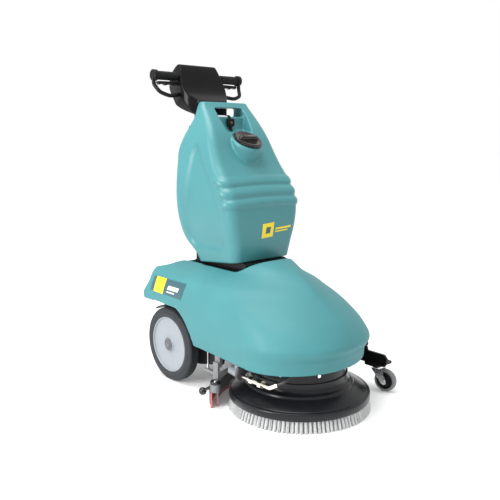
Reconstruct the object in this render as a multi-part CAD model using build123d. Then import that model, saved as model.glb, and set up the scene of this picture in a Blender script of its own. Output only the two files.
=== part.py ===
from build123d import *
import math
import os

# A walk-behind floor scrubber with one disc brush.  Millimetres, +Z up, the floor at z = 0.
# The origin is the brush's axis at floor level.  The machine drives towards -Y, the operator
# stands at +Y, and +X is the operator's left.

# ---------------------------------------------------------------- driving dimensions
WALL = 4.0                # wall of the moulded covers
RUN = 0.05                # radial clearance of a shaft in its bore
GAP = 0.3                 # clearance between soft or curved neighbours

BRUSH_R = 238.0           # bristle tips at the floor
BRISTLE_H = 37.0
BRISTLE_BORE = 60.0
BLOCK_R = 226.0
BLOCK_T = 16.0
SHAFT_R = 12.0

DECK_R = 235.0            # rim of the deck cover
DRUM_R = 155.5
DRUM_TOP = 186.0

AXLE_Y = 470.0            # rear axle
AXLE_Z = 136.0
AXLE_R = 10.0
WHEEL_R = 136.0
WHEEL_OUT = 206.0         # outer face of each rear wheel
WHEEL_W = 48.0
HUB_R = 101.5

RAIL_X = 130.0            # chassis side rails
RAIL_W = 20.0
RAIL_H = 30.0
FLOOR_PLATE_T = 3.0

SHELL_BOTTOM = 172.0      # lower edge of the moulded body
TAIL_BOTTOM = 290.0       # lower edge behind the wheel arch
ARCH_R = 170.0

COLUMN_Y = (485.0, 525.0)
COLUMN_HALF = 30.0
COLUMN_TOP = 1030.0

BAR_Y = 540.0             # handlebar
BAR_Z = 1100.0
BAR_R = 13.0
BAR_END = 190.0
GRIP_R = 15.5
TRIGGER_X = 107.0         # pivot of each finger lever
TRIGGER_Z = 1076.0

SWIVEL_X = 305.0          # front caster
SWIVEL_Y = -95.0
CASTER_R = 40.0
CASTER_TRAIL = 29.0
CASTER_YAW = 10.0

SQ_R = 286.0              # squeegee arc, concentric with the brush
SQ_HALF_ANGLE = 57.0
SQ_TOP = 62.0
SQ_PIVOT_Y = 110.0
SQ_PIVOT_Z = 201.0
SQ_PIVOT_R = 8.0
SQ_ARM_X = 222.0
SQ_BOSS = (240.0, 148.0)

CAP_TILT = 30.0           # the tank's screw cap leans forward from upright
CAP_AT = (0.0, 255.0, 883.0)
CAP_R = 51.0
NECK_R = 40.0

# Body outline at rising heights: height, nose y, y of the widest point, half width there, how
# square the nose is, half width at MID_Y, tail y, half width at the tail.
MID_Y = 300.0
BODY_LEVELS = [
    (172, -195, 0, 234, 2.0, 214, 600, 205),
    (205, -199, 0, 237, 2.0, 220, 604, 215),
    (245, -221, 0, 241, 2.0, 223, 608, 220),
    (270, -211, 5, 237, 1.9, 224, 610, 222),
    (315, -172, 35, 227, 1.75, 225, 617, 223),
    (360, -114, 90, 212, 1.6, 219, 582, 218),
    (400, -62, 155, 190, 1.5, 201, 556, 200),
    (420, -32, 180, 160, 1.5, 163, 540, 160),
    (440, 5, 190, 123, 1.6, 122, 495, 120),
    (460, 55, 190, 112, 1.7, 110, 480, 110),
    (478, 105, 190, 105, 1.7, 104, 470, 104),
]

# Tank outline at rising heights: height, half width, front y, rear y, corner radius.
TANK_LEVELS = [
    (440, 127, 182, 380, 26),
    (475, 132, 177, 400, 30),
    (525, 139, 167, 460, 34),
    (593, 156, 162, 478, 36),
    (667, 163, 167, 483, 36),
    (743, 160, 206, 483, 34),
    (794, 154, 244, 483, 32),
    (840, 147, 271, 482, 30),
    (888, 137, 295, 462, 28),
    (925, 127, 318, 437, 26),
    (960, 117, 345, 417, 22),
    (990, 108, 371, 411, 16),
    (1005, 100, 381, 407, 9),
]


# ---------------------------------------------------------------- small helpers
def block(x0, x1, y0, y1, z0, z1):
    """A box between two corners."""
    size = Box(x1 - x0, y1 - y0, z1 - z0)
    return Pos((x0 + x1) / 2, (y0 + y1) / 2, (z0 + z1) / 2) * size


def rod(start, direction, radius, length):
    """A cylinder that starts at a point and runs along a direction."""
    plane = Plane(origin=start, z_dir=direction)
    return extrude(plane * Circle(radius), amount=length)


def turned(profile, centre=(0, 0)):
    """A solid turned about a vertical axis from a list of (radius, z) points."""
    face = make_face(Polyline(*[(r, 0, z) for r, z in profile], close=True))
    return Pos(centre[0], centre[1], 0) * revolve(face, Axis.Z, 360)


def turned_x(profile, y, z):
    """A solid turned about an axis along X from a list of (x, radius) points."""
    face = make_face(Polyline(*[(x, 0, r) for x, r in profile], close=True))
    return Pos(0, y, z) * revolve(face, Axis.X, 360)


def prism_x(outline, x0, x1):
    """A (y, z) outline drawn out along X."""
    face = make_face(Polyline(*[(x0, y, z) for y, z in outline], close=True))
    return extrude(face, amount=x1 - x0, dir=(1, 0, 0))


def prism_y(outline, y0, y1):
    """An (x, z) outline drawn out along Y."""
    face = make_face(Polyline(*[(x, y0, z) for x, z in outline], close=True))
    return extrude(face, amount=y1 - y0, dir=(0, 1, 0))


def prism_z(outline, z0, z1):
    """An (x, y) outline drawn out along Z."""
    face = make_face(Polyline(*[(x, y, z0) for x, y in outline], close=True))
    return extrude(face, amount=z1 - z0, dir=(0, 0, 1))


def bent_tube(points, radii, radius):
    """A round bar along straight runs joined by arcs."""
    path = FilletPolyline(*points, radius=radii)
    start = path @ 0
    profile = Plane(origin=start, z_dir=path % 0) * Circle(radius)
    return sweep(profile, path=path)


def ring_sector(inner, outer, z0, z1, half_angle):
    """Part of a flat ring about the brush's axis, centred on +Y."""
    ring = turned([(inner, z0), (outer, z0), (outer, z1), (inner, z1)])
    reach = 2 * outer
    a = math.radians(half_angle)
    wedge = [(0, 0), (reach * math.sin(a), reach * math.cos(a)), (reach * math.sin(a), reach)]
    wedge += [(-x, y) for x, y in reversed(wedge[1:])]
    return ring & prism_z(wedge, z0 - 1, z1 + 1)


def hexagon(start, direction, flats, height):
    """A hexagon head."""
    plane = Plane(origin=start, z_dir=direction)
    return extrude(plane * RegularPolygon(flats / 2, 6, major_radius=False), amount=height)


def mirrored(solid):
    """The same piece on the other side of the machine."""
    return solid.mirror(Plane.YZ)


# ---------------------------------------------------------------- brush
def brush_bristles():
    """The ring of tufts, wider at the floor than at the block."""
    return turned([(BRISTLE_BORE, 0), (BRUSH_R, 0), (BLOCK_R, BRISTLE_H), (BRISTLE_BORE, BRISTLE_H)])


def brush_block():
    """The moulded disc that holds the tufts, with a hole for the drive hub's spigot."""
    top = BRISTLE_H + BLOCK_T
    return turned([(32, BRISTLE_H), (BLOCK_R, BRISTLE_H), (BLOCK_R, top - 4), (BLOCK_R - 8, top), (32, top)])


def drive_hub():
    """Output shaft with the flange that carries the brush."""
    top = BRISTLE_H + BLOCK_T
    flange = turned([(0, top - 12), (31.5, top - 12), (31.5, top), (62, top), (62, top + 10), (0, top + 10)])
    shaft = rod((0, 0, top + 10), (0, 0, 1), SHAFT_R, 90)
    return flange + shaft


# ---------------------------------------------------------------- deck and drive
def deck_cover():
    """Stepped skirt over the brush."""
    outer = [(DECK_R, 38), (DECK_R, 59), (231, 63), (224, 65), (205, 75), (190, 83), (180, 87)]
    outer += [(179, 93), (170, 97), (163, 104), (160.5, 112), (160.5, 128)]
    inner = [(156.2, 128), (156.2, 104), (160, 99), (167, 92), (175, 88), (176, 83), (188, 78)]
    inner += [(203, 70.5), (222, 61), (230, 57), (231, 38)]
    return turned(outer + inner)


def deck_drum():
    """Drum between the deck cover and the frame; the gearbox hangs in its top plate."""
    wall = turned([(DRUM_R - 4, 100), (DRUM_R, 100), (DRUM_R, DRUM_TOP), (DRUM_R - 4, DRUM_TOP)])
    plate = turned([(40, DRUM_TOP - 6), (DRUM_R - 2, DRUM_TOP - 6), (DRUM_R - 2, DRUM_TOP), (40, DRUM_TOP)])
    drum = wall + plate
    for spot in drum_bolt_spots():
        drum -= rod(spot[0], spot[1], 4.1, 30)
    return drum


def drum_bolt_spots():
    """Where the ring of screws enters the drum wall, and each one's direction."""
    spots = []
    for i in range(8):
        a = math.radians(22.5 + 45 * i)
        out = (math.cos(a), math.sin(a), 0)
        spots.append(((140 * out[0], 140 * out[1], 152), out))
    return spots


def drum_screws():
    """Hexagon screws round the drum."""
    screws = []
    for start, out in drum_bolt_spots():
        reach = DRUM_R - 140
        head_at = tuple(s + reach * o for s, o in zip(start, out))
        shank_at = tuple(s + 6 * o for s, o in zip(start, out))
        screws.append(rod(shank_at, out, 4, reach - 6) + hexagon(head_at, out, 10, 3.5))
    return Compound(screws)


def gearbox():
    """Reduction gear case with the bearing bore for the output shaft."""
    neck = turned([(0, 96), (39, 96), (39, DRUM_TOP), (0, DRUM_TOP)])
    flange = turned([(0, DRUM_TOP), (75, DRUM_TOP), (75, 194), (52, 194), (52, 236), (0, 236)])
    return neck + flange - rod((0, 0, 90), (0, 0, 1), SHAFT_R + RUN, 66)


def brush_motor():
    """Motor can, hollow for its rotor."""
    can = turned([(0, 236), (52, 236), (52, 346), (46, 352), (0, 352)])
    hollow = turned([(0, 248), (45, 248), (45, 330), (0, 330)])
    bore = rod((0, 0, 238), (0, 0, 1), 8 + RUN, 108)
    return can - hollow - bore


def motor_rotor():
    """Rotor core and shaft."""
    return rod((0, 0, 252), (0, 0, 1), 40, 74) + rod((0, 0, 239), (0, 0, 1), 8, 106)


# ---------------------------------------------------------------- chassis
def chassis_frame():
    """Welded frame: rails, cross members, base plate, axle brackets and squeegee pivots."""
    z0, z1 = DRUM_TOP, DRUM_TOP + RAIL_H - FLOOR_PLATE_T
    frame = block(-190, 190, 88, 325, z1, z1 + FLOOR_PLATE_T)
    frame += block(-148, 148, 325, 545, z1, z1 + FLOOR_PLATE_T)
    frame += block(-208, -RAIL_X, 74, 92, 200, 206)
    for side in (-1, 1):
        xa, xb = sorted((side * (RAIL_X - RAIL_W / 2), side * (RAIL_X + RAIL_W / 2)))
        frame += block(xa, xb, -100, 545, z0, z1)
        bracket = prism_x([(430, z0), (510, z0), (490, 112), (450, 112)], xa, xb)
        frame += bracket
        frame += block(*sorted((side * 70, side * 90)), 440, 460, z1, 412)
        skirt = [(225, z0), (225, 130), (300, 106), (440, 106), (440, z0)]
        frame += prism_x(skirt, *sorted((side * (RAIL_X + 6), side * (RAIL_X + 10))))
        frame += mudguard(side)
    for y in (-100, 200, 340, 485):
        frame += block(-RAIL_X, RAIL_X, y, y + 25, z0, z1)
    frame += rod((-222, SQ_PIVOT_Y, SQ_PIVOT_Z), (1, 0, 0), SQ_PIVOT_R, 444)
    frame -= rod((-200, AXLE_Y, AXLE_Z), (1, 0, 0), AXLE_R, 400)
    return frame


def mudguard(side):
    """Curved strip over the back of one rear wheel, on a web that stands on the base plate."""
    top = DRUM_TOP + RAIL_H
    xa, xb = sorted((side * 144, side * 204))
    strip = turned_x([(xa, WHEEL_R + 6), (xb, WHEEL_R + 6), (xb, WHEEL_R + 10), (xa, WHEEL_R + 10)],
                     AXLE_Y, AXLE_Z)
    strip &= block(-210, 210, 480, 548, 236, 290)
    web = [(486, top - FLOOR_PLATE_T), (540, top - FLOOR_PLATE_T), (540, 262), (515, 272), (486, 279)]
    return strip + prism_x(web, *sorted((side * 144, side * 150)))


def rear_axle():
    """Straight axle for both rear wheels."""
    return rod((-196, AXLE_Y, AXLE_Z), (1, 0, 0), AXLE_R, 392)


def handle_column():
    """Square tube that carries the handle."""
    y0, y1 = COLUMN_Y
    base = DRUM_TOP + RAIL_H
    tube = block(-COLUMN_HALF, COLUMN_HALF, y0, y1, base, COLUMN_TOP)
    hollow = block(-COLUMN_HALF + 3, COLUMN_HALF - 3, y0 + 3, y1 - 3, base - 1, COLUMN_TOP + 1)
    pin = rod((-30, 505, 742), (-1, 0, 0), 5, 16)
    return tube - hollow + pin


# ---------------------------------------------------------------- moulded body
def body_outline(level, inset, lift):
    """The body's outline in plan at one height, pulled in by the inset."""
    z, nose, wide_y, half, power, mid, tail, tail_half = level
    nose, tail = nose + inset, tail - inset
    half, mid, tail_half = half - inset, mid - inset, tail_half - inset
    side = []
    for step in range(1, 7):
        a = step * math.pi / 12
        x = half * math.sin(a) ** (2 / power)
        y = wide_y - (wide_y - nose) * math.cos(a) ** (2 / power)
        side.append((x, y))
    side.append((mid, MID_Y))
    side.append(((mid + tail_half) / 2, (MID_Y + tail) / 2))
    side.append((tail_half, tail))
    points = [(-x, y) for x, y in reversed(side)] + [(0, nose)] + side
    skin = Spline(*[(x, y, z - lift) for x, y in points])
    back = Line(skin @ 1, skin @ 0)
    return make_face([skin, back])


def rim_cutter():
    """Everything above the rim of the tank well: high at the front, low at the sides."""
    line = [(112, 477), (150, 458), (190, 441), (340, 442), (495, 446), (560, 446)]
    return prism_x(line + [(560, 520), (112, 520)], -150, 150)


def well_outline(inset):
    """The tank well in plan, rounded at the front."""
    x = 115 - inset
    return [(-x, 484), (-x, 196 + inset), (-72, 148 + inset), (0, 124 + inset), (72, 148 + inset),
            (x, 196 + inset), (x, 484)]


def lower_shell():
    """Moulded body cover, open below and open at the tank well."""
    outer = loft([body_outline(level, 0, 0) for level in BODY_LEVELS])
    below = [body_outline(level, WALL, 0) for level in BODY_LEVELS if level[0] < 260]
    above = [body_outline(level, WALL, 6) for level in BODY_LEVELS if level[0] > 260]
    shell = outer - loft(below + above)
    shell -= rim_cutter()
    shell -= prism_z(well_outline(0), 380, 500)
    shell -= block(-36, 36, 470, 532, 380, 480)
    shell -= rod((-260, AXLE_Y, AXLE_Z), (1, 0, 0), ARCH_R, 520)
    under = [(AXLE_Y - 60, 160), (AXLE_Y - 60, TAIL_BOTTOM), (640, TAIL_BOTTOM), (640, 160)]
    shell -= prism_x(under, -260, 260)
    return shell


def tank_seat():
    """Dark tray that the tank stands on."""
    tray = prism_z(well_outline(3), 412, 420)
    tray -= block(-34, 34, 478, 500, 400, 430)
    plinth = [(158, 420), (158, 462), (178, 467.5), (372, 450), (440, 446), (440, 420)]
    return tray + prism_x(plinth, -98, 98)


def battery(side):
    """Battery with two terminals."""
    x0, x1 = sorted((side * 4, side * 112))
    z0 = DRUM_TOP + RAIL_H
    case = block(x0, x1, 92, 322, z0, 392)
    for y in (120, 294):
        case += rod((side * 58, y, 392), (0, 0, 1), 9, 12)
    return case


def solution_tank():
    """Clean-water tank behind the batteries, over the axle."""
    z0 = DRUM_TOP + RAIL_H
    tank = block(-150, 150, 330, 436, z0, 396) + block(-188, 188, 340, 540, 308, 366)
    tank -= block(-36, 36, 438, 565, 200, 420)
    tank -= block(-95, 95, 436, 464, 200, 420)
    hollow = block(-146, 146, 334, 432, z0 + 4, 392) + block(-184, 184, 344, 432, 312, 362)
    return tank - hollow


def vacuum_motor():
    """Vacuum motor can, hollow for its fan."""
    z0 = DRUM_TOP + RAIL_H - FLOOR_PLATE_T
    can = turned([(0, z0), (50, z0), (50, 318), (30, 330), (0, 330)], (-108, 20))
    hollow = turned([(0, z0 + 5), (45, z0 + 5), (45, z0 + 45), (0, z0 + 45)], (-108, 20))
    bore = rod((-108, 20, z0 + 2), (0, 0, 1), 5 + RUN, 100)
    inlet = rod((-108, 20, z0 + 20), (0, -1, 0), 16, 60)
    return can - hollow - bore - inlet


def vacuum_fan():
    """Bladed fan on its shaft."""
    z0 = DRUM_TOP + RAIL_H - FLOOR_PLATE_T
    fan = rod((-108, 20, z0 + 8), (0, 0, 1), 40, 3) + rod((-108, 20, z0 + 3), (0, 0, 1), 5, 95)
    for i in range(9):
        blade = block(12, 40, -1.5, 1.5, z0 + 11, z0 + 38)
        fan += Pos(-108, 20, 0) * Rot(0, 0, 40 * i) * blade
    return fan


def control_box():
    """Electronics box on the right rail."""
    z0 = DRUM_TOP + RAIL_H - FLOOR_PLATE_T
    return block(72, 150, -30, 66, z0, z0 + 80) - block(75, 147, -27, 63, z0 + 3, z0 + 74)


# ---------------------------------------------------------------- rear wheels
def rear_tyre():
    """Grooved tyre with rounded shoulders."""
    x0, x1 = WHEEL_OUT - WHEEL_W, WHEEL_OUT
    r = WHEEL_R
    outline = [(x0 + 3, HUB_R), (x0, HUB_R + 8), (x0, r - 14), (x0 + 5, r - 4), (x0 + 12, r)]
    for i in range(3):
        x = x0 + 15 + 7 * i
        outline += [(x, r), (x + 0.6, r - 2.5), (x + 2.4, r - 2.5), (x + 3, r)]
    outline += [(x1 - 12, r), (x1 - 5, r - 4), (x1, r - 14), (x1, HUB_R + 8), (x1 - 3, HUB_R)]
    return turned_x(outline, AXLE_Y, AXLE_Z)


def rear_hub():
    """Moulded disc wheel with a raised rim and a central boss."""
    x0, x1 = WHEEL_OUT - WHEEL_W + 3, WHEEL_OUT - 1
    bore = AXLE_R + RUN
    outline = [(x0 - 1, bore), (x0 - 1, 26), (x1 - 13, 26), (x1 - 13, HUB_R - 8), (x0, HUB_R - 8)]
    outline += [(x0, HUB_R), (x1, HUB_R), (x1, HUB_R - 5), (x1 - 5, HUB_R - 8), (x1 - 5, 25)]
    outline += [(x1 - 2, 23), (x1 - 8.9, 23), (x1 - 8.9, bore)]
    return turned_x(outline, AXLE_Y, AXLE_Z)


def hub_cap():
    """Dark cap that closes the hub's boss."""
    x1 = WHEEL_OUT - 1
    outline = [(x1 - 8.9, 0), (x1 - 8.9, 23), (x1 + 0.5, 22), (x1 + 2, 19), (x1 + 1, 14), (x1 + 3, 8), (x1 + 3, 0)]
    return turned_x(outline, AXLE_Y, AXLE_Z)


# ---------------------------------------------------------------- front caster
def caster_arm():
    """Bent bracket from the frame out to the caster, under the body's edge."""
    arm = block(140, 172, -60, -10, 196, 210) + block(162, 172, -60, -10, 158, 210)
    arm += block(162, 289, -60, -10, 158, 168)
    arm += prism_x([(-10, 168), (-10, 112), (-30, 96), (-136, 96), (-146, 110), (-146, 128), (-134, 140),
                    (-62, 140), (-50, 168)], 281, 289)
    plate = block(258, 346, -128, -62, 96, 102)
    plate = fillet(plate.edges().filter_by(Axis.Z), 14)
    return arm + plate - rod((SWIVEL_X, SWIVEL_Y, 90), (0, 0, 1), 6.5, 20)


def caster_stud():
    """Swivel stud with its nut."""
    stud = rod((SWIVEL_X, SWIVEL_Y, 84.5), (0, 0, 1), 6, 31)
    return stud + hexagon((SWIVEL_X, SWIVEL_Y, 102), (0, 0, 1), 19, 9)


def swung(solid):
    """Turns a caster piece about the swivel to its resting direction."""
    return Pos(SWIVEL_X, SWIVEL_Y, 0) * Rot(0, 0, CASTER_YAW) * solid


def caster_fork():
    """Swivel head and the two legs that hold the wheel."""
    head = turned([(0, 80), (20, 80), (24, 84), (24, 91), (18, 95.6), (0, 95.6)])
    legs = None
    for x0 in (-18, 15):
        side = [(-19, 80), (21, 80), (-20, 30), (-29, 26), (-39, 31), (-39, 40)]
        leg = prism_x(side, x0, x0 + 3)
        legs = leg if legs is None else legs + leg
    fork = head + legs - rod((0, 0, 84), (0, 0, 1), 6 + RUN, 20)
    fork -= rod((-22, -CASTER_TRAIL, CASTER_R), (1, 0, 0), 4 + RUN, 44)
    return swung(fork)


def caster_axle():
    """Bolt through the caster wheel."""
    bolt = rod((-22, -CASTER_TRAIL, CASTER_R), (1, 0, 0), 4, 44)
    heads = hexagon((-18, -CASTER_TRAIL, CASTER_R), (-1, 0, 0), 11, 4)
    heads += hexagon((18, -CASTER_TRAIL, CASTER_R), (1, 0, 0), 11, 4)
    return swung(bolt + heads)


def caster_wheel():
    """Wheel centre."""
    outline = [(-13, 4 + RUN), (-13, 10), (-8, 12), (-8, 24), (-11, 27), (-11, 30)]
    outline += [(-x, r) for x, r in reversed(outline)]
    return swung(turned_x(outline, -CASTER_TRAIL, CASTER_R))


def caster_tyre():
    """Rubber tread with rounded shoulders."""
    outline = [(-11, 30), (-11.5, 35), (-9, 38.6), (-4, 40)]
    outline += [(-x, r) for x, r in reversed(outline)]
    return swung(turned_x(outline, -CASTER_TRAIL, CASTER_R))


# ---------------------------------------------------------------- squeegee
def squeegee_body():
    """Curved channel that holds both blades, with the suction outlet."""
    top = SQ_TOP
    body = ring_sector(SQ_R - 15, SQ_R + 15, top - 6, top, SQ_HALF_ANGLE)
    body += ring_sector(SQ_R - 15, SQ_R - 11, 15, top - 6, SQ_HALF_ANGLE)
    body += ring_sector(SQ_R + 11, SQ_R + 15, 15, top - 6, SQ_HALF_ANGLE)
    body += rod((0, SQ_R, top), (0, 0, 1), 22, 56)
    return body - rod((0, SQ_R, top - 10), (0, 0, 1), 17, 70)


def squeegee_blades():
    """Front and rear rubber blades."""
    front = ring_sector(SQ_R - 11, SQ_R - 7.5, 1.2, SQ_TOP - 8, SQ_HALF_ANGLE - 4)
    rear = ring_sector(SQ_R + 6, SQ_R + 11, 0.6, SQ_TOP - 8, SQ_HALF_ANGLE)
    return Compound([front, rear])


def squeegee_arm(side):
    """Hanger from the pivot down to the boss at one tip of the squeegee."""
    out, mid, low = SQ_ARM_X, SQ_ARM_X - 8, SQ_ARM_X - 16
    link = [(SQ_PIVOT_Y - 14, 192), (SQ_PIVOT_Y - 14, 212), (SQ_PIVOT_Y + 12, 214), (182, 190), (182, 134),
            (156, 134), (156, 182), (SQ_PIVOT_Y + 8, 190)]
    arm = prism_x(link, *sorted((side * low, side * mid)))
    arm += block(*sorted((side * mid, side * out)), 156, 182, SQ_TOP, 150)
    arm += rod((side * SQ_BOSS[0], SQ_BOSS[1], SQ_TOP), (0, 0, 1), 17, 26)
    arm += block(*sorted((side * (out - 6), side * (out + 8))), 150, 164, SQ_TOP, SQ_TOP + 24)
    arm += block(*sorted((side * 200, side * (mid + 2))), 176, 240, 104, 110)
    arm += rod((side * 191, SQ_PIVOT_Y, SQ_PIVOT_Z), (side, 0, 0), 14, mid - 191)
    arm -= rod((side * 180, SQ_PIVOT_Y, SQ_PIVOT_Z), (side, 0, 0), SQ_PIVOT_R + RUN, 60)
    start, along, reach = knob_screw(side)
    return arm - rod(start, along, 5, reach)


def knob_screw(side):
    """Start, direction and length of the ball-ended screw at one tip."""
    start = Vector(side * 246, 162, 76)
    end = Vector(side * 262, 188, 56)
    return start, (end - start).normalized(), (end - start).length


def squeegee_knobs():
    """Round hand knobs on the bosses, and ball-ended locking screws beside them."""
    base = SQ_TOP + 26
    profile = [(0, 0), (15, 0), (18, 2), (18, 6), (15, 9), (7, 9), (7, 11), (0, 11)]
    knobs = []
    for side in (-1, 1):
        knobs.append(turned([(r, base + z) for r, z in profile], (side * SQ_BOSS[0], SQ_BOSS[1])))
        start, along, reach = knob_screw(side)
        end = start + along * reach
        knobs.append(rod(start, along, 5, reach) + Pos(end.X, end.Y, end.Z) * Sphere(13))
    return Compound(knobs)


def vacuum_hose():
    """Lower length of the suction hose on the squeegee's outlet."""
    z0 = 118
    outline = [(17, z0), (22, z0)]
    for i in range(8):
        z = z0 + 3 + 6 * i
        outline += [(22, z), (19.5, z + 1.5), (19.5, z + 4.5)]
    outline += [(22, z0 + 51), (17, z0 + 51)]
    return turned(outline, (0, SQ_R))


def lift_cable():
    """Steel cable that pulls the squeegee up, with its crimped end."""
    cable = rod((-205, 232, 110), (0, 0, 1), 1.5, 84)
    return cable + rod((-205, 232, 110), (0, 0, 1), 4, 16)


# ---------------------------------------------------------------- clean-water line
def solution_filter():
    """Filter bowl under the right edge of the body."""
    axis = Vector(0, -1, -0.1).normalized()
    bowl = rod((-200, 112, 138), axis, 16, 40)
    stem = rod((-200, 84, 136), (0, 0, 1), 8, 64)
    return bowl + stem


def filter_cap():
    """Ribbed cap on the filter bowl."""
    axis = Vector(0, -1, -0.1).normalized()
    start = Vector(-200, 112, 138) + axis * 40
    cap = rod(start, axis, 18, 9)
    for i in range(16):
        a = 2 * math.pi * i / 16
        side = Vector(1, 0, 0)
        up = axis.cross(side)
        at = start + side * (18 * math.cos(a)) + up * (18 * math.sin(a))
        cap += rod(at, axis, 1.6, 9)
    return cap


def solution_valve():
    """Metal valve body with hexagon ends, nipple and elbow."""
    line = rod((-200, 61.5, 128.5), (0, -1, 0), 5, 34)
    valve = line + rod((-200, 27.5, 128.5), (0, -1, 0), 8, 10)
    valve += hexagon((-200, 18, 128.5), (0, -1, 0), 22, 16)
    valve += rod((-200, 2, 128.5), (0, -1, 0), 9.5, 26)
    valve += hexagon((-200, -24, 128.5), (0, -1, 0), 24, 14)
    valve += rod((-200, -38, 128.5), (0, -1, 0), 6, 12)
    elbow = bent_tube([(-200, -50, 128.5), (-200, -72, 128.5), (-188.1, -91.8, 140.4)], [12], 8.5)
    return valve + elbow


def solution_hose():
    """Short hose from the elbow up to the deck drum's water inlet."""
    points = [(-188.1, -91.8, 140.4), (-176.7, -110.8, 151.8), (-158, -112, 165), (-128.5, -91, 168)]
    return bent_tube(points, [18, 18], 6.5)


# ---------------------------------------------------------------- lift-off tank
def tank_section(level, inset):
    """Rounded oblong outline of the tank at one height."""
    z, half, front, rear, corner = level
    width = 2 * (half - inset)
    depth = rear - front - 2 * inset
    radius = max(min(corner - inset, depth / 2 - 1), 2)
    return Pos(0, (front + rear) / 2, z) * RectangleRounded(width, depth, radius)


def tank_level(z):
    """The tank's outline numbers at any height, by straight interpolation."""
    for low, high in zip(TANK_LEVELS, TANK_LEVELS[1:]):
        if low[0] <= z <= high[0]:
            t = (z - low[0]) / (high[0] - low[0])
            return [a + t * (b - a) for a, b in zip(low, high)]
    return list(TANK_LEVELS[-1])


def cap_axis():
    """Direction in which the cap comes off."""
    tilt = math.radians(CAP_TILT)
    return Vector(0, -math.sin(tilt), math.cos(tilt))


def recovery_tank():
    """Hollow moulded tank with a carrying handle, three ribs and a slanting filler neck."""
    axis = cap_axis()
    face_at = Vector(*CAP_AT) - axis * 14
    tank = loft([tank_section(level, 0) for level in TANK_LEVELS])
    for z in (743, 707, 670):
        level = tank_level(z)
        rib = extrude(tank_section([z - 9] + level[1:], -5), amount=18)
        tank += rib & block(-200, 200, 100, level[2] + 42, z - 20, z + 20)
    tank += rod(face_at - axis * 95, axis, 56, 95)
    hollow = loft([tank_section(level, WALL) for level in TANK_LEVELS if level[0] <= 925])
    hollow -= block(-150, 150, 150, 500, 430, 462)
    hollow -= prism_x([(0, 430), (0, 490), (178, 476), (400, 456), (520, 440), (520, 430)], -200, 200)
    tank -= hollow
    tank -= rod(face_at - axis * 100, axis, NECK_R, 130)
    tank -= block(-64, 64, 250, 352, 918, 1020) - rod(face_at - axis * 95, axis, 56, 95)
    tank -= rod(face_at, axis, CAP_R + 2, 70)
    tank -= block(-64, 64, 300, 460, 956, 986)
    tank -= prism_x([(100, 400), (100, 477), (176, 470), (376, 450.5), (520, 436), (520, 400)], -200, 200)
    return tank


def tank_cap():
    """Screw cap with a raised grip bar and a plug that enters the neck."""
    axis = cap_axis()
    seat = Vector(*CAP_AT) - axis * (14 - GAP)
    cap = rod(seat, axis, CAP_R, 12) + rod(seat - axis * 16, axis, NECK_R - 0.6, 17)
    grip_plane = Plane(origin=seat + axis * 12, x_dir=(1, 0, 0), z_dir=axis)
    grip = extrude(grip_plane * SlotOverall(80, 26), amount=8)
    return cap + grip


def tank_strap():
    """Strap and buckle that hold the tank to the column through its handle."""
    strap = block(-9, 9, 346, 351.5, 912, 958)
    strap += block(-15, 15, 342, 346, 922, 946)
    return strap


# ---------------------------------------------------------------- console and handles
def console_profile(inset):
    """Side view of the console."""
    i = inset
    return [(538 + i, 1145 - i), (558 - i / 2, 1146 - i), (606 - i, 1094 - i / 2), (611 - i, 1062),
            (600 - i, 1046), (584 - i, 1032), (570 - i, 1016 + i), (500, 1004 + i), (450 + i, 1004 + i),
            (446 + i, 1012), (486 + i, 1040)]


def console_solid(inset):
    """Console body: its side, front and top views crossed with each other."""
    i = inset
    side = prism_x(console_profile(i), -120, 120)
    front = [(-82 + i, 1150), (-90 + i, 1114), (-100 + i, 1074), (-100 + i, 1024), (-90 + i, 1000)]
    front += [(-x, z) for x, z in reversed(front)]
    plan = [(-80 + i, 640), (-84 + i, 600), (-101 + i, 505), (-60, 458 + i)]
    plan += [(-x, y) for x, y in reversed(plan)]
    return side & prism_y(front, 400, 640) & prism_z(plan, 990, 1160)


def console_housing():
    """Hollow console over the top of the column, with a slanting control face."""
    shell = console_solid(0) - console_solid(WALL)
    shell -= rod((-120, BAR_Y, BAR_Z), (1, 0, 0), BAR_R + RUN, 240)
    shell -= block(-COLUMN_HALF - 1, COLUMN_HALF + 1, COLUMN_Y[0] - 1, COLUMN_Y[1] + 1, 995, 1022)
    for side in (-1, 1):
        xa, xb = sorted((side * 90, side * 112))
        for y in (BAR_Y - 11, BAR_Y + 7.4):
            shell += block(xa, xb, y, y + 3.6, TRIGGER_Z - 7, TRIGGER_Z + 6)
        shell += rod((side * TRIGGER_X, BAR_Y - 9, TRIGGER_Z), (0, 1, 0), 2.5, 18)
    for x in (-45, 0, 40):
        shell -= control_hole(x)
    return shell


CONTROL_AT = Vector(0, 584, 1118)
CONTROL_N = Vector(0, 56, 52).normalized()


def control_hole(x):
    """Round hole through the control face."""
    start = CONTROL_AT + Vector(x, 0, 0) - CONTROL_N * 12
    return rod(start, CONTROL_N, 9.3, 24)


def control_panel():
    """Plate on the control face, with holes for the key switch and buttons."""
    plane = Plane(origin=CONTROL_AT, x_dir=(1, 0, 0), z_dir=CONTROL_N)
    plate = extrude(plane * RectangleRounded(150, 56, 6), amount=2.5)
    for x in (-45, 0, 40):
        plate -= control_hole(x)
    return plate


def push_button(x):
    """Round button that slides in the control face."""
    start = CONTROL_AT + Vector(x, 0, 0) - CONTROL_N * 6
    return rod(start, CONTROL_N, 9.2, 14)


def key_switch():
    """Key barrel with its key."""
    start = CONTROL_AT + Vector(-45, 0, 0) - CONTROL_N * 8
    barrel = rod(start, CONTROL_N, 9.2, 14)
    plane = Plane(origin=start + CONTROL_N * 14, x_dir=(1, 0, 0), z_dir=CONTROL_N)
    bow = extrude(plane * Rectangle(3, 18), amount=20)
    return barrel + bow


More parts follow.
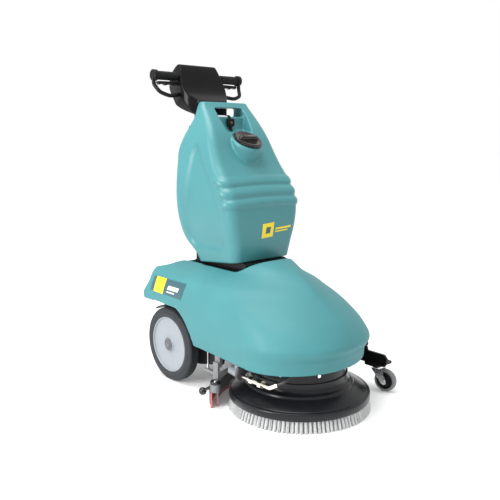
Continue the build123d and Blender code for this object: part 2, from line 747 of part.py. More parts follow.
def column_fairing():
    """Rounded cover behind the column, under the console."""
    def outline(i):
        arc = [(568.5 - i, 1015.3 - i), (556 - i, 1002), (534 - i / 2, 988 + i), (507, 977 + i)]
        return arc + [(475, 967 + i), (454 + i, 962 + i), (460 + i, 1003.6 - i), (500, 1003.6 - i)]
    fairing = prism_x(outline(0), -84, 84) - prism_x(outline(4), -80, 80)
    hole = block(-COLUMN_HALF - 1, COLUMN_HALF + 1, COLUMN_Y[0] - 1, COLUMN_Y[1] + 1, 940, 1040)
    return fairing - hole


def handlebar():
    """Straight tube through the console."""
    tube = rod((-BAR_END, BAR_Y, BAR_Z), (1, 0, 0), BAR_R, 2 * BAR_END)
    return tube - rod((-BAR_END - 1, BAR_Y, BAR_Z), (1, 0, 0), BAR_R - 2, 2 * BAR_END + 2)


def grip(side):
    """Moulded grip with an end disc."""
    reach = BAR_END - 104
    body = rod((side * 104, BAR_Y, BAR_Z), (side, 0, 0), GRIP_R, reach)
    disc = rod((side * (BAR_END - 6), BAR_Y, BAR_Z), (side, 0, 0), 19.5, 8)
    hole = rod((side * 100, BAR_Y, BAR_Z), (side, 0, 0), BAR_R, BAR_END - 100)
    return body + disc - hole


def hand_guard(side):
    """Loop from the grip's end round to the console, with its clamp ring."""
    ring = rod((side * (BAR_END + 2), BAR_Y, BAR_Z), (side, 0, 0), 19.5, 6)
    points = [(side * (BAR_END + 5), 540, 1092), (side * (BAR_END + 5), 538, 1068), (side * 184, 518, 1041),
              (side * 148, 508, 1028), (side * 99, 520, 1036)]
    loop = bent_tube(points, [22, 26, 40], 7)
    return ring + loop - console_solid(0) - rod((side * 100, BAR_Y, BAR_Z), (side, 0, 0), 20, 92)


def trigger(side):
    """Wavy finger lever under the grip."""
    points = [(108, 1081.5), (178, 1080), (181, 1075), (174, 1068), (160, 1072), (147, 1066), (134, 1071),
              (121, 1067), (108, 1071)]
    lever = prism_y([(side * x, z) for x, z in points], BAR_Y - 7, BAR_Y + 7)
    lever += rod((side * TRIGGER_X, BAR_Y - 7, TRIGGER_Z), (0, 1, 0), 5.5, 14)
    return lever - rod((side * TRIGGER_X, BAR_Y - 8, TRIGGER_Z), (0, 1, 0), 2.5 + RUN, 16)


def lift_lever():
    """Hand lever on the column's side that raises the squeegee."""
    boss = rod((-30.4, 505, 742), (-1, 0, 0), 14, 13)
    arm = prism_x([(499, 742), (511, 742), (513, 926), (505, 926)], -43, -36)
    outline = [(-40, 0), (-40, 4), (-46, 4), (-48, 7), (-53, 9), (-58, 9), (-63, 6.5), (-65, 0)]
    knob = turned_x(outline, 509, 920)
    return boss + arm + knob - rod((-20, 505, 742), (-1, 0, 0), 5 + RUN, 40)


# ---------------------------------------------------------------- output
def parts():
    """Every named piece."""
    found = {
        "brush_bristles": brush_bristles(), "brush_block": brush_block(), "drive_hub": drive_hub(),
        "deck_cover": deck_cover(), "deck_drum": deck_drum(), "drum_screws": drum_screws(),
        "gearbox": gearbox(), "brush_motor": brush_motor(), "motor_rotor": motor_rotor(),
        "chassis_frame": chassis_frame(), "rear_axle": rear_axle(), "handle_column": handle_column(),
        "lower_shell": lower_shell(), "tank_seat": tank_seat(), "solution_tank": solution_tank(),
        "vacuum_motor": vacuum_motor(), "vacuum_fan": vacuum_fan(), "control_box": control_box(),
        "caster_arm": caster_arm(), "caster_stud": caster_stud(), "caster_fork": caster_fork(),
        "caster_axle": caster_axle(), "caster_wheel": caster_wheel(), "caster_tyre": caster_tyre(),
        "squeegee_body": squeegee_body(), "squeegee_blades": squeegee_blades(),
        "squeegee_knobs": squeegee_knobs(), "vacuum_hose": vacuum_hose(),
        "lift_cable": lift_cable(), "solution_filter": solution_filter(), "filter_cap": filter_cap(),
        "solution_valve": solution_valve(), "solution_hose": solution_hose(),
        "recovery_tank": recovery_tank(), "tank_cap": tank_cap(), "tank_strap": tank_strap(),
        "console_housing": console_housing(), "control_panel": control_panel(),
        "key_switch": key_switch(), "brush_button": push_button(0), "vacuum_button": push_button(40),
        "column_fairing": column_fairing(), "handlebar": handlebar(), "lift_lever": lift_lever(),
    }
    for name, side in (("right", -1), ("left", 1)):
        found["battery_" + name] = battery(side)
        found["squeegee_arm_" + name] = squeegee_arm(side)
        found["grip_" + name] = grip(side)
        found["hand_guard_" + name] = hand_guard(side)
        found["trigger_" + name] = trigger(side)
        wheel = {"rear_tyre_": rear_tyre(), "rear_hub_": rear_hub(), "hub_cap_": hub_cap()}
        for piece, solid in wheel.items():
            found[piece + name] = solid if side > 0 else mirrored(solid)
    return found


os.makedirs("parts", exist_ok=True)
for node, solid in parts().items():
    export_step(solid, "parts/" + node + ".step")
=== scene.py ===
import math

import bmesh
import bpy
import numpy as np
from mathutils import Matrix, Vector


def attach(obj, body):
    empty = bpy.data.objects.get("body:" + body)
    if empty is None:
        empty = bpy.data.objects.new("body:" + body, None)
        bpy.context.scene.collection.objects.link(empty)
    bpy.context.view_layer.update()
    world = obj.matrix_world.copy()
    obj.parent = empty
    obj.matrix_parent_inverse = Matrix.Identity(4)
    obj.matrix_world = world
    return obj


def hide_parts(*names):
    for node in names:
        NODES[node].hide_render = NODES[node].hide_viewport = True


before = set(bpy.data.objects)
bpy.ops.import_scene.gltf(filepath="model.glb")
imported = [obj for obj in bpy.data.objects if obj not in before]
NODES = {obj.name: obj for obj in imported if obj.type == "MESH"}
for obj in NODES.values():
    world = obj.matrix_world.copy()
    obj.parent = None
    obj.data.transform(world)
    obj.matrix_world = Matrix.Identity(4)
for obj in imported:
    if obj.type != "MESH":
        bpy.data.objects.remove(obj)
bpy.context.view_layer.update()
MM = 0.001

# Sizes below are in millimetres in the part's own frame, as in the CAD model.
AXLE_Y, AXLE_Z = 470, 136
WHEEL_OUT, HUB_R = 206, 101.5
BRUSH_R, BRISTLE_H = 238, 37
CAP_AXIS = Vector((0, -0.5, math.sqrt(0.75)))
CAP_AT = Vector((0, 255, 883))
CONTROL_AXIS = Vector((0, 0.7328, 0.6804))

# Body outline: height, nose y, widest y, half width, nose power, half width at y 300, tail y,
# tail half width, rear corner radius.
BODY = np.array([
    (172, -195, 0, 234, 2.0, 214, 600, 205, 14),
    (205, -199, 0, 237, 2.0, 220, 604, 215, 14),
    (225, -212, 0, 240, 2.0, 222, 606, 218, 14),
    (245, -221, 0, 241, 2.0, 223, 608, 220, 14),
    (270, -211, 5, 237, 1.9, 224, 610, 222, 14),
    (300, -187, 20, 231, 1.8, 225, 614, 223, 14),
    (315, -172, 35, 227, 1.75, 225, 617, 223, 14),
    (330, -153, 50, 223, 1.7, 224, 606, 222, 14),
    (360, -114, 90, 212, 1.6, 219, 583, 218, 14),
    (380, -88, 125, 202, 1.5, 213, 575, 214, 14),
    (400, -62, 155, 190, 1.45, 201, 567, 208, 14),
    (420, -32, 180, 160, 1.45, 163, 556, 186, 16),
    (440, 5, 190, 123, 1.6, 122, 495, 120, 30),
    (460, 55, 190, 112, 1.7, 110, 480, 110, 30),
    (475, 100, 190, 105, 1.7, 100, 470, 100, 30),
], float)

# Tank outline: height, half width, front y, rear y, corner radius.
TANK = np.array([
    (440, 127, 182, 380, 26),
    (475, 132, 177, 400, 30),
    (525, 139, 167, 460, 34),
    (593, 156, 162, 478, 36),
    (667, 163, 167, 483, 36),
    (743, 160, 206, 483, 34),
    (794, 154, 244, 483, 32),
    (840, 147, 271, 482, 30),
    (888, 137, 295, 462, 28),
    (925, 127, 318, 437, 26),
    (960, 117, 345, 417, 22),
    (990, 108, 371, 411, 16),
    (1005, 100, 381, 407, 9),
], float)
RIB_LEVELS = (743, 707, 670)


# ---------------------------------------------------------------- materials
def material(name, colour, rough, metal=0.0, vary=0.08, grain=260, bump=0.08, mottle=18,
             coat=0.0, rough_vary=0.1, edge=0.0, specular=0.5):
    """A moulded, painted or metal finish: mottled colour, uneven gloss, fine relief, and convex edges made
    lighter by pointiness.
    """
    made = bpy.data.materials.new(name)
    made.use_nodes = True
    nodes, links = made.node_tree.nodes, made.node_tree.links
    shader = nodes["Principled BSDF"]
    shader.inputs["Metallic"].default_value = metal
    shader.inputs["Coat Weight"].default_value = coat
    shader.inputs["Coat Roughness"].default_value = 0.12
    shader.inputs["Specular IOR Level"].default_value = specular
    place = nodes.new("ShaderNodeTexCoord")
    cloud = nodes.new("ShaderNodeTexNoise")
    cloud.inputs["Scale"].default_value = mottle
    cloud.inputs["Detail"].default_value = 4
    links.new(place.outputs["Object"], cloud.inputs["Vector"])
    ramp = nodes.new("ShaderNodeValToRGB")
    low = [max(0.0, c * (1 - vary)) for c in colour]
    high = [min(1.0, c * (1 + vary)) for c in colour]
    ramp.color_ramp.elements[0].position = 0.3
    ramp.color_ramp.elements[0].color = (*low, 1)
    ramp.color_ramp.elements[1].position = 0.7
    ramp.color_ramp.elements[1].color = (*high, 1)
    links.new(cloud.outputs["Fac"], ramp.inputs["Fac"])
    colour_out = ramp.outputs["Color"]
    # Convex edges, picked out by pointiness, are mixed towards a lighter copy of the colour.
    if edge:
        bevel = nodes.new("ShaderNodeNewGeometry")
        convex_lift = nodes.new("ShaderNodeMapRange")
        convex_lift.inputs["From Min"].default_value = 0.52
        convex_lift.inputs["From Max"].default_value = 0.62
        convex_lift.inputs["To Max"].default_value = edge
        links.new(bevel.outputs["Pointiness"], convex_lift.inputs["Value"])
        mix = nodes.new("ShaderNodeMix")
        mix.data_type = "RGBA"
        mix.inputs["B"].default_value = (*[min(1.0, c * 1.6 + 0.03) for c in colour], 1)
        links.new(convex_lift.outputs["Result"], mix.inputs["Factor"])
        links.new(colour_out, mix.inputs["A"])
        colour_out = mix.outputs["Result"]
    links.new(colour_out, shader.inputs["Base Color"])
    gloss = nodes.new("ShaderNodeMapRange")
    gloss.inputs["To Min"].default_value = max(0.02, rough * (1 - rough_vary))
    gloss.inputs["To Max"].default_value = min(1.0, rough * (1 + rough_vary))
    links.new(cloud.outputs["Fac"], gloss.inputs["Value"])
    links.new(gloss.outputs["Result"], shader.inputs["Roughness"])
    fine = nodes.new("ShaderNodeTexNoise")
    fine.inputs["Scale"].default_value = grain
    fine.inputs["Detail"].default_value = 3
    links.new(place.outputs["Object"], fine.inputs["Vector"])
    relief = nodes.new("ShaderNodeBump")
    relief.inputs["Strength"].default_value = bump
    relief.inputs["Distance"].default_value = 0.0006
    links.new(fine.outputs["Fac"], relief.inputs["Height"])
    links.new(relief.outputs["Normal"], shader.inputs["Normal"])
    return made


def brushed(name, colour, rough, stretch):
    """Bare metal with fine drawn lines along one axis."""
    made = material(name, colour, rough, metal=1.0, vary=0.1, grain=500, bump=0.05, mottle=60)
    nodes, links = made.node_tree.nodes, made.node_tree.links
    place = nodes.new("ShaderNodeTexCoord")
    squeeze = nodes.new("ShaderNodeMapping")
    squeeze.inputs["Scale"].default_value = stretch
    lines = nodes.new("ShaderNodeTexNoise")
    lines.inputs["Scale"].default_value = 900
    links.new(place.outputs["Object"], squeeze.inputs["Vector"])
    links.new(squeeze.outputs["Vector"], lines.inputs["Vector"])
    relief = nodes.new("ShaderNodeBump")
    relief.inputs["Strength"].default_value = 0.12
    relief.inputs["Distance"].default_value = 0.0004
    links.new(lines.outputs["Fac"], relief.inputs["Height"])
    links.new(relief.outputs["Normal"], nodes["Principled BSDF"].inputs["Normal"])
    return made


TEAL = material("teal_moulding", (0.045, 0.194, 0.208), 0.4, vary=0.035, grain=900, bump=0.1,
                mottle=9, coat=0.04, edge=0.22, specular=0.4)
SHELL = material("teal_shell", (0.045, 0.194, 0.208), 0.56, vary=0.035, grain=900, bump=0.1, mottle=9,
                 coat=0.02, edge=0.22, specular=0.34)
BLACK = material("black_moulding", (0.006, 0.006, 0.0065), 0.3, grain=1400, bump=0.18, mottle=30, edge=0.3,
                 specular=0.14)
GLOSS = material("console_moulding", (0.005, 0.005, 0.0055), 0.2, grain=1500, bump=0.08, mottle=14,
                 edge=0.2, specular=0.1, rough_vary=0.3)
DECK = material("deck_moulding", (0.008, 0.0085, 0.01), 0.24, grain=1600, bump=0.2, mottle=25, edge=0.4,
                rough_vary=0.25, specular=0.22)
PAINT = material("black_powder_coat", (0.006, 0.006, 0.006), 0.34, grain=2200, bump=0.3, mottle=40, edge=0.4,
                 specular=0.15)
GRIP = material("grip_rubber", (0.008, 0.008, 0.0085), 0.5, grain=1800, bump=0.35, mottle=50, specular=0.14)
HUB = material("hub_moulding", (0.242, 0.265, 0.29), 0.42, vary=0.04, grain=1200, bump=0.12, mottle=20)
CAP_GREY = material("hub_cap_moulding", (0.085, 0.09, 0.1), 0.4, grain=1200, bump=0.15, mottle=30, edge=0.3)
TYRE = material("tyre_rubber", (0.028, 0.032, 0.036), 0.6, specular=0.2, grain=900, bump=0.3,
                mottle=35, vary=0.14)
TREAD = material("caster_tread", (0.16, 0.165, 0.17), 0.55, grain=1100, bump=0.25, mottle=40)
ZINC = material("zinc_plate", (0.78, 0.79, 0.8), 0.26, metal=1.0, vary=0.16, grain=700, bump=0.12,
                mottle=120, rough_vary=0.35)
STEEL = brushed("drawn_steel", (0.6, 0.6, 0.61), 0.28, (1, 1, 0.05))
NICKEL = material("nickel_brass", (0.8, 0.76, 0.66), 0.22, metal=1.0, vary=0.1, grain=600, bump=0.08,
                  mottle=90)
GREY_METAL = material("cast_grey", (0.17, 0.175, 0.18), 0.42, metal=0.35, grain=1300, bump=0.5,
                      mottle=80, vary=0.18, edge=0.4)
BLADE = material("blade_rubber", (0.62, 0.13, 0.13), 0.4, grain=700, bump=0.08, mottle=30)
HOSE = material("hose_rubber", (0.018, 0.018, 0.019), 0.45, grain=1100, bump=0.2, mottle=50)
BOWL = material("filter_bowl", (0.2, 0.22, 0.24), 0.25, vary=0.08, grain=500, bump=0.05, mottle=30, coat=0.2)
BRISTLE = material("bristle_nylon", (0.6, 0.61, 0.61), 0.4, vary=0.2, grain=1500, bump=0.2, mottle=220)
BLOCK = material("brush_block", (0.03, 0.03, 0.033), 0.5, grain=1200, bump=0.2, mottle=40)
SMOKE = material("cap_moulding", (0.012, 0.008, 0.008), 0.18, grain=900, bump=0.06,
                 mottle=25, specular=0.3, coat=0.1)
YELLOW = material("yellow_film", (0.72, 0.56, 0.012), 0.32, vary=0.03, grain=1500, bump=0.05)
SLATE = material("slate_film", (0.026, 0.082, 0.1), 0.32, vary=0.06, grain=1500, bump=0.05)
PALE = material("pale_film", (0.7, 0.74, 0.75), 0.32, vary=0.03, grain=1500, bump=0.05)
INNER = material("inner_metal", (0.07, 0.07, 0.075), 0.45, metal=0.2, grain=900, bump=0.2, mottle=40)
KNOB = material("knob_moulding", (0.006, 0.006, 0.0065), 0.12, grain=900, bump=0.05, mottle=30, specular=0.4,
                coat=0.3)
RUST = material("buckle_tongue", (0.1, 0.035, 0.025), 0.35, grain=900, bump=0.1)
GREEN = material("green_button", (0.02, 0.22, 0.05), 0.25, grain=900, bump=0.05, coat=0.4)
BLUE = material("blue_button", (0.02, 0.08, 0.32), 0.25, grain=900, bump=0.05, coat=0.4)


# ---------------------------------------------------------------- mesh helpers
def mesh_object(name, points, faces):
    """A mesh object from points in millimetres."""
    mesh = bpy.data.meshes.new(name)
    mesh.from_pydata([tuple(c * MM for c in p) for p in points], [], faces)
    mesh.validate()
    made = bpy.data.objects.new(name, mesh)
    bpy.context.scene.collection.objects.link(made)
    work = bmesh.new()
    work.from_mesh(mesh)
    bmesh.ops.remove_doubles(work, verts=work.verts, dist=1e-6)
    bmesh.ops.recalc_face_normals(work, faces=work.faces)
    work.to_mesh(mesh)
    work.free()
    return made


def smooth(obj, angle=35):
    """Smooth shading that keeps edges sharper than the angle."""
    obj.data.polygons.foreach_set("use_smooth", [True] * len(obj.data.polygons))
    obj.data.set_sharp_from_angle(angle=math.radians(angle))
    return obj


def bake(obj):
    """Applies the object's modifiers."""
    graph = bpy.context.evaluated_depsgraph_get()
    mesh = bpy.data.meshes.new_from_object(obj.evaluated_get(graph))
    obj.modifiers.clear()
    obj.data = mesh
    return obj


def finish_piece(obj, body, finish, slot, *replaced):
    """Gives a piece its finish, and ties it to the frame."""
    obj.data.materials.clear()
    obj.data.materials.append(finish)
    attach(obj, body)
    if replaced:
        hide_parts(*replaced)
    return obj


def cut(obj, tool, mode="DIFFERENCE"):
    """Boolean of two closed meshes; the tool is used up."""
    step = obj.modifiers.new("cut", "BOOLEAN")
    step.operation = mode
    step.solver = "EXACT"
    step.object = tool
    bake(obj)
    bpy.data.objects.remove(tool)
    return obj


def soften(obj, voxel, rounds, factor=0.5):
    """Remeshes a closed mesh and relaxes it, so that every edge gets a moulded radius."""
    step = obj.modifiers.new("remesh", "REMESH")
    step.mode = "VOXEL"
    step.voxel_size = voxel * MM
    relax = obj.modifiers.new("relax", "SMOOTH")
    relax.factor = factor
    relax.iterations = rounds
    return smooth(bake(obj), 180)


def stack(name, rings):
    """A closed solid through rings of points with equal counts."""
    points = [p for ring in rings for p in ring]
    count = len(rings[0])
    faces = []
    for i in range(len(rings) - 1):
        for j in range(count):
            k = (j + 1) % count
            faces.append((i * count + j, i * count + k, (i + 1) * count + k, (i + 1) * count + j))
    faces.append(tuple(reversed(range(count))))
    faces.append(tuple((len(rings) - 1) * count + j for j in range(count)))
    return mesh_object(name, points, faces)


def prism(name, outline, along, low, high):
    """A closed prism: an outline in the other two axes, drawn out along one axis."""
    def place(a, b, c):
        return {"x": (c, a, b), "y": (a, c, b), "z": (a, b, c)}[along]
    return stack(name, [[place(a, b, low) for a, b in outline], [place(a, b, high) for a, b in outline]])


def eased(outline, rounds=3, share=0.2):
    """A closed outline with its corners cut back several times, so that it runs in curves."""
    spots = [np.array(p, float) for p in outline]
    for _ in range(rounds):
        nexts = spots[1:] + spots[:1]
        spots = [q for a, b in zip(spots, nexts) for q in (a + (b - a) * share, b + (a - b) * share)]
    return [tuple(p) for p in spots]


def lathe(name, profile, at, axis="z", count=96):
    """A turned solid. The profile is (radius, height) pairs, and the height runs along the axis."""
    at = Vector(at)
    if isinstance(axis, str):
        axis = Vector((1, 0, 0)) if axis == "x" else Vector((0, 0, 1))
    side = axis.orthogonal().normalized()
    other = axis.cross(side)
    points, faces = [], []
    for r, h in profile:
        for j in range(count):
            a = 2 * math.pi * j / count
            points.append(at + axis * h + (side * math.cos(a) + other * math.sin(a)) * r)
    for i in range(len(profile)):
        n = (i + 1) % len(profile)
        for j in range(count):
            k = (j + 1) % count
            faces.append((i * count + j, i * count + k, n * count + k, n * count + j))
    return mesh_object(name, points, faces)


def joined(name, *objs):
    """One object from several."""
    work = bmesh.new()
    for obj in objs:
        work.from_mesh(obj.data)
        bpy.data.objects.remove(obj)
    mesh = bpy.data.meshes.new(name)
    work.to_mesh(mesh)
    work.free()
    made = bpy.data.objects.new(name, mesh)
    bpy.context.scene.collection.objects.link(made)
    return made


def between(table, z):
    """A row of a table at any height, by a smooth curve through its rows."""
    z = min(max(z, table[0, 0]), table[-1, 0])
    slope = np.gradient(table[:, 1:], table[:, 0], axis=0)
    i = min(max(int(np.searchsorted(table[:, 0], z)) - 1, 0), len(table) - 2)
    span = table[i + 1, 0] - table[i, 0]
    t = (z - table[i, 0]) / span
    a, b = table[i, 1:], table[i + 1, 1:]
    return (a * (2 * t ** 3 - 3 * t ** 2 + 1) + b * (3 * t ** 2 - 2 * t ** 3)
            + slope[i] * span * (t ** 3 - 2 * t ** 2 + t) + slope[i + 1] * span * (t ** 3 - t ** 2))


# ---------------------------------------------------------------- moulded body
def body_half(z, inset=0.0):
    """Points down one side of the body at a height, from the nose to the middle of the tail."""
    nose, wide, half, power, mid, tail, rear, corner = between(BODY, z)
    nose, tail, half, mid, rear = nose + inset, tail - inset, half - inset, mid - inset, rear - inset
    t = np.linspace(0, math.pi / 2, 44)
    front = np.stack([half * np.sin(t) ** (2 / power), wide - (wide - nose) * np.cos(t) ** (2 / power)], 1)
    y = np.linspace(wide, tail - corner, 32)[1:]
    c = tail - corner
    x = (half * (y - 300) * (y - c) / ((wide - 300) * (wide - c))
         + mid * (y - wide) * (y - c) / ((300 - wide) * (300 - c))
         + rear * (y - wide) * (y - 300) / ((c - wide) * (c - 300)))
    side = np.stack([x, y], 1)
    t = np.linspace(0, math.pi / 2, 12)[1:]
    back = np.stack([rear * np.cos(t) ** 0.6, c + corner * np.sin(t) ** 0.9], 1)
    return np.concatenate([front, side, back])


def body_ring(z, inset=0.0):
    """The whole outline of the body at a height."""
    right = body_half(z, inset)[1:-1]
    nose, tail = body_half(z, inset)[0], body_half(z, inset)[-1]
    ring = [(0, nose[1])] + [tuple(p) for p in right] + [(0, tail[1])] + [(-x, y) for x, y in right[::-1]]
    return [(x, y, z) for x, y in ring]


def body_shell():
    heights = list(np.arange(172, 476, 6.0)) + [478]
    shell = stack("body_shell", [body_ring(z) for z in heights])
    inner = [body_ring(z, 9) for z in np.arange(150, 250, 10.0)]
    inner = [[(x, y, 150 + 10 * i) for x, y, _ in ring] for i, ring in enumerate(inner)]
    inner += [[(x, y, z - 8) for x, y, _ in body_ring(z, 9)] for z in np.arange(262, 470, 8.0)]
    hollow = stack("hollow", inner)
    cut(hollow, prism("rear_deck", [(482, 403), (700, 399), (700, 600), (482, 600)], "x", -320, 320))
    cut(shell, hollow)
    rim = [(100, 479), (118, 474), (135, 466.5), (150, 457), (168, 446), (184, 439), (200, 439), (340, 441),
           (470, 444), (482, 444), (494, 437), (508, 427), (522, 421), (545, 416), (562, 412), (660, 410),
           (660, 560), (100, 560)]
    cut(shell, prism("rim", rim, "x", -300, 300))
    well = [(-116, 500), (-116, 194), (-98, 166), (-70, 145), (-35, 129), (0, 124), (35, 129), (70, 145),
            (98, 166), (116, 194), (116, 500)]
    cut(shell, prism("well", well, "z", 380, 520))
    arch = [(AXLE_Y + 170 * math.cos(a), min(AXLE_Z + 170 * math.sin(a), 291 + 6 * math.cos(a)))
            for a in np.linspace(0, 2 * math.pi, 97)[:-1]]
    cut(shell, prism("arch", arch, "x", -300, 300))
    under = [(AXLE_Y - 60, 120), (AXLE_Y - 60, 290), (660, 290), (660, 120)]
    cut(shell, prism("under", under, "x", -300, 300))
    soften(shell, 3.2, 12)
    points = shell.data.vertices
    for v in points:
        x, y, z = v.co / MM
        if y < 120 and z < 262:
            front = max(0.0, min(1.0, (120 - y) / 260))
            fold = math.exp(-((z - 214) / 12.0) ** 2)
            reach = math.hypot(x, y) or 1
            pull = -2.4 * front * fold * MM
            v.co.x += x / reach * pull
            v.co.y += y / reach * pull
    finish_piece(shell, "chassis", SHELL, "moulded_teal", "lower_shell")
    return shell


def side_x(y, z):
    """Half width of the body at a point on its side."""
    half = body_half(z)
    half = half[half[:, 1] > 60]
    return float(np.interp(y, half[:, 1], half[:, 0]))


def side_panel(name, corners, lift, finish, side):
    """A thin film that follows the body's side inside four (y, z) corners."""
    a, b, c, d = [Vector(p) for p in corners]
    count, points, faces = 24, [], []
    for out in (lift, lift - 0.8):
        for i in range(count + 1):
            for j in range(count + 1):
                u, v = i / count, j / count
                p = a * (1 - u) * (1 - v) + b * u * (1 - v) + c * u * v + d * (1 - u) * v
                points.append((side * (side_x(p.x, p.y) + out), p.x, p.y))
    wide, layer = count + 1, (count + 1) ** 2
    for i in range(count):
        for j in range(count):
            q = (i * wide + j, i * wide + j + 1, (i + 1) * wide + j + 1, (i + 1) * wide + j)
            faces.append(q)
            faces.append(tuple(layer + k for k in reversed(q)))
    edge = [i * wide for i in range(wide)] + [count * wide + j for j in range(1, wide)]
    edge += [i * wide + count for i in range(count - 1, -1, -1)] + list(range(count - 1, 0, -1))
    for a_, b_ in zip(edge, edge[1:] + edge[:1]):
        faces.append((a_, b_, layer + b_, layer + a_))
    panel = smooth(mesh_object(name, points, faces))
    return finish_piece(panel, "chassis", finish, "moulded_teal")


def side_labels():
    for side, word in ((-1, "right"), (1, "left")):
        side_panel("side_label_" + word, [(532, 386), (338, 386), (358, 327), (552, 332)], 1.0, SLATE, side)
        side_panel("side_square_" + word, [(513, 387), (452, 387), (470, 329), (530, 330)], 1.7, YELLOW, side)
        side_panel("side_bar_" + word, [(436, 364), (372, 364), (379, 350), (443, 350)], 1.7, PALE, side)
        side_panel("side_line_" + word, [(444, 343), (398, 343), (400, 339), (446, 339)], 1.7, PALE, side)


# ---------------------------------------------------------------- tank
def tank_ring(z, grow=0.0):
    """Rounded outline of the tank at a height, as points and outward directions."""
    half, front, rear, corner = between(TANK, z)
    half, front, rear = half + grow, front - grow, rear + grow
    corner = max(4.0, min(corner + grow, (rear - front) / 2 - 1))
    ring = []

    def arc(cx, cy, start, count=12):
        for k in range(count + 1):
            a = math.radians(start + 90 * k / count)
            ring.append((cx + corner * math.cos(a), cy + corner * math.sin(a)))

    def straight(a, b, count):
        for k in range(1, count):
            t = k / count
            ring.append((a[0] * (1 - t) + b[0] * t, a[1] * (1 - t) + b[1] * t))

    x, y0, y1 = half - corner, front + corner, rear - corner
    straight((-x, front), (x, front), 60)
    arc(x, y0, -90)
    straight((half, y0), (half, y1), 60)
    arc(x, y1, 0)
    straight((x, rear), (-x, rear), 40)
    arc(-x, y1, 90)
    straight((-half, y1), (-half, y0), 60)
    arc(-x, y0, 180)
    out = []
    for px, py in ring:
        bow = 0.0
        if py < front + corner + 1:
            bow = 5.0 * (1 - min(1.0, abs(px) / (half - 4)) ** 2)
        out.append((px, py - bow))
    return out


def ease(t):
    t = max(0.0, min(1.0, t))
    return t * t * (3 - 2 * t)


def rib_height(x, y, z, front, half):
    """How far the three ribs stand out at a point on the tank's face."""
    fade = ease((front + 52 - y) / 18)
    height = 0.0
    for i, level in enumerate(RIB_LEVELS):
        curve = level - 6 * (abs(x) / half) ** 2
        across = (z - curve) / 15.5
        if abs(across) < 1:
            height = max(height, 9.0 * math.sqrt(1 - across ** 2))
    return fade * (height - 2.0) if height else 0.0


def side_recess(y, z, front, rear):
    """How deep the panel pressed into the tank's side is at a point."""
    low = ease((z - 498) / 14)
    high = ease((872 - z) / 30)
    lean = max(0.0, (z - 498) / (872 - 498))
    start = front + 52 + 18 * lean
    stop = rear - 36 - 60 * lean ** 1.5
    return 9.0 * low * high * ease((y - start) / 16) * ease((stop - y) / 26)


def tank_body():
    rings = []
    for z in np.arange(440, 1005, 3.0):
        half, front, rear, corner = between(TANK, z)
        ring = []
        for x, y in tank_ring(z):
            nx, ny = x / half, (y - (front + rear) / 2) / ((rear - front) / 2)
            norm = math.hypot(nx ** 5, ny ** 5) or 1
            dx, dy = nx ** 5 / norm, ny ** 5 / norm
            push = 0.0
            if 640 < z < 775 and y < front + 60:
                push += rib_height(x, y, z, front, half)
            if abs(x) > half - 3:
                push -= side_recess(y, z, front, rear)
            ring.append((x + dx * push, y + dy * push, z))
        rings.append(ring)
    rings.append([(x * 0.97, y * 0.97 + 11.9, 1006) for x, y, _ in rings[-1]])
    tank = stack("tank_body", rings)
    cut(tank, prism("bottom", [(100, 400), (100, 476), (176, 469), (376, 450), (520, 436), (520, 400)],
                    "x", -200, 200))
    face = CAP_AT - CAP_AXIS * 14
    boss = lathe("boss", [(0.01, -120), (48, -120), (57, -52), (58, -6), (55, 0), (0.01, 0)], face, CAP_AXIS)
    niche = prism("niche", [(-64, 1012), (-64, 950), (-56, 900), (56, 900), (64, 950), (64, 1012)],
                  "y", 240, 356)
    slope = prism("slope", [(240, 896), (340, 902), (352, 912), (356, 930), (355, 1020), (240, 1020)], "x",
                  -70, 70)
    cut(niche, slope, "INTERSECT")
    cut(tank, niche)
    cut(tank, boss, "UNION")
    cut(tank, lathe("clear", [(0.01, 0), (53, 0), (53, 90), (0.01, 90)], face, CAP_AXIS))
    cut(tank, lathe("neck", [(0.01, -60), (40, -60), (40, 5), (0.01, 5)], face, CAP_AXIS))
    window = [(-64, 961), (-59, 956), (59, 956), (64, 961), (62, 981), (57, 986), (-57, 986), (-62, 981)]
    cut(tank, prism("window", window, "y", 300, 470))
    soften(tank, 2.3, 10)
    return finish_piece(tank, "tank", TEAL, "moulded_teal", "recovery_tank")


def front_y(x, z):
    """Where the tank's front face is at a point seen from the front."""
    half, front, rear, corner = between(TANK, z)
    return front - 5.0 * (1 - min(1.0, abs(x) / (half - 4)) ** 2)


def front_film(name, corners, lift, finish):
    """A thin film that follows the tank's front inside four (x, z) corners."""
    a, b, c, d = [Vector(p) for p in corners]
    count, points, faces = 16, [], []
    for out in (lift, lift - 0.8):
        for i in range(count + 1):
            for j in range(count + 1):
                u, v = i / count, j / count
                p = a * (1 - u) * (1 - v) + b * u * (1 - v) + c * u * v + d * (1 - u) * v
                points.append((p.x, front_y(p.x, p.y) - out, p.y))
    wide, layer = count + 1, (count + 1) ** 2
    for i in range(count):
        for j in range(count):
            q = (i * wide + j, i * wide + j + 1, (i + 1) * wide + j + 1, (i + 1) * wide + j)
            faces.append(q)
            faces.append(tuple(layer + k for k in reversed(q)))
    edge = [i * wide for i in range(wide)] + [count * wide + j for j in range(1, wide)]
    edge += [i * wide + count for i in range(count - 1, -1, -1)] + list(range(count - 1, 0, -1))
    for a_, b_ in zip(edge, edge[1:] + edge[:1]):
        faces.append((a_, b_, layer + b_, layer + a_))
    return finish_piece(smooth(mesh_object(name, points, faces)), "tank", finish, "moulded_teal")


def tank_films():
    front_film("tank_badge", [(-22, 595), (30, 598), (24, 549), (-27, 546)], 0.9, YELLOW)
    front_film("tank_badge_mark", [(-6, 582), (14, 583.5), (10, 562), (-10, 560.5)], 1.5, SLATE)
    front_film("tank_stripe", [(38, 578), (112, 581), (111, 574), (36, 571)], 0.9, YELLOW)
    front_film("tank_stripe_low", [(35, 567), (96, 569.5), (95, 565), (34, 562.5)], 0.9, YELLOW)


